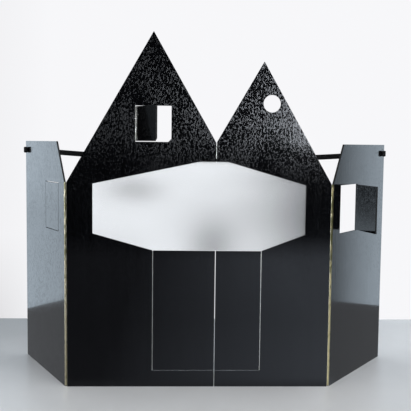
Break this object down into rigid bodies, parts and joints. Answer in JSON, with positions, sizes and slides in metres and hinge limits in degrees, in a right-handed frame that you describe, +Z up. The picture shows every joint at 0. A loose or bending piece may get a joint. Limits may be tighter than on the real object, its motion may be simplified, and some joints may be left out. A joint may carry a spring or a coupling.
{
  "type": "puppet theater stand",
  "caption": "Free-standing folding puppet theater: gabled front boards with a stage opening, folding side wings, doors and window shutters.",
  "frame": {"origin": "on the floor, under the middle of the theatre's box", "axes": "+X across the front to the right, +Y from the front to the rear, +Z up"},
  "size_m": [1.7314, 0.6176, 1.5],
  "materials": {
    "black_ply": "black stained ply under glossy lacquer, upright grain",
    "brass_hinge": "pale satin brass",
    "black_hinge": "blackened, satin",
    "frosted_sheet": "frosted, translucent",
    "black_binding": "woven binding tape",
    "black_webbing": "flat woven webbing",
    "black_dowel": "black stained, satin"
  },
  "bodies": {
    "left_front": {"front_panel_left": "black_ply", "centre_top_hinge_fixed_leaf": "brass_hinge", "centre_top_hinge_pin": "brass_hinge", "centre_bottom_hinge_fixed_leaf": "brass_hinge", "centre_bottom_hinge_pin": "brass_hinge", "left_door_hinge_fixed_leaf": "brass_hinge", "left_door_hinge_pin": "brass_hinge", "gable_shutter_hinge_fixed_leaf": "brass_hinge", "gable_shutter_hinge_pin": "brass_hinge", "left_wing_hinge_fixed_leaf": "brass_hinge", "left_wing_hinge_pin": "brass_hinge", "screen_hem": "black_binding", "screen_sheet": "frosted_sheet", "strap": "black_webbing"},
    "right_front": {"front_panel_right": "black_ply", "centre_top_hinge_moving_leaf": "brass_hinge", "centre_bottom_hinge_moving_leaf": "brass_hinge", "right_door_hinge_fixed_leaf": "brass_hinge", "right_door_hinge_pin": "brass_hinge", "right_wing_hinge_fixed_leaf": "brass_hinge", "right_wing_hinge_pin": "brass_hinge"},
    "left_wing": {"left_wing_panel": "black_ply", "left_wing_hinge_moving_leaf": "brass_hinge", "left_shutter_hinge_fixed_leaf": "black_hinge", "left_shutter_hinge_pin": "black_hinge", "strap_toggle_left": "black_dowel"},
    "right_wing": {"right_wing_panel": "black_ply", "right_wing_hinge_moving_leaf": "brass_hinge", "right_shutter_hinge_fixed_leaf": "black_hinge", "right_shutter_hinge_pin": "black_hinge", "strap_toggle_right": "black_dowel"},
    "left_door": {"left_door_panel": "black_ply", "left_door_hinge_moving_leaf": "brass_hinge"},
    "right_door": {"right_door_panel": "black_ply", "right_door_hinge_moving_leaf": "brass_hinge"},
    "gable_shutter": {"gable_shutter_panel": "black_ply", "gable_shutter_hinge_moving_leaf": "brass_hinge"},
    "left_shutter": {"left_shutter_panel": "black_ply", "left_shutter_hinge_moving_leaf": "black_hinge"},
    "right_shutter": {"right_shutter_panel": "black_ply", "right_shutter_hinge_moving_leaf": "black_hinge"}
  },
  "joints": [
    {"name": "centre_fold", "type": "hinge", "parent": "left_front", "child": "right_front", "pos_m": [0.03123, -0.17879, 0.032], "axis": [0, 0, -1], "range_deg": [-60, 0], "deforming": ["screen_sheet", "screen_hem"]},
    {"name": "left_wing_fold", "type": "hinge", "parent": "left_front", "child": "left_wing", "pos_m": [-0.59627, -0.17879, 0.43737], "axis": [0, 0, -1], "range_deg": [0, 110], "deforming": ["strap"]},
    {"name": "right_wing_fold", "type": "hinge", "parent": "right_front", "child": "right_wing", "pos_m": [0.52073, -0.17879, 0.43737], "axis": [0, 0, 1], "range_deg": [0, 118]},
    {"name": "left_door_swing", "type": "hinge", "parent": "left_front", "child": "left_door", "pos_m": [-0.23377, -0.17879, 0.32925], "axis": [0, 0, -1], "range_deg": [-100, 0]},
    {"name": "right_door_swing", "type": "hinge", "parent": "right_front", "child": "right_door", "pos_m": [0.22623, -0.17879, 0.32925], "axis": [0, 0, 1], "range_deg": [-100, 0]},
    {"name": "gable_shutter_swing", "type": "hinge", "parent": "left_front", "child": "gable_shutter", "pos_m": [-0.30727, -0.19179, 1.12], "axis": [0, 0, -1], "range_deg": [-54.5, 100]},
    {"name": "left_shutter_swing", "type": "hinge", "parent": "left_wing", "child": "left_shutter", "pos_m": [-0.71117, 0.04099, 0.762], "axis": [0, 0, -1], "range_deg": [-120, 0]},
    {"name": "right_shutter_swing", "type": "hinge", "parent": "right_wing", "child": "right_shutter", "pos_m": [0.68105, 0.01751, 0.762], "axis": [0, 0, 1], "range_deg": [-52, 80]}
  ]
}
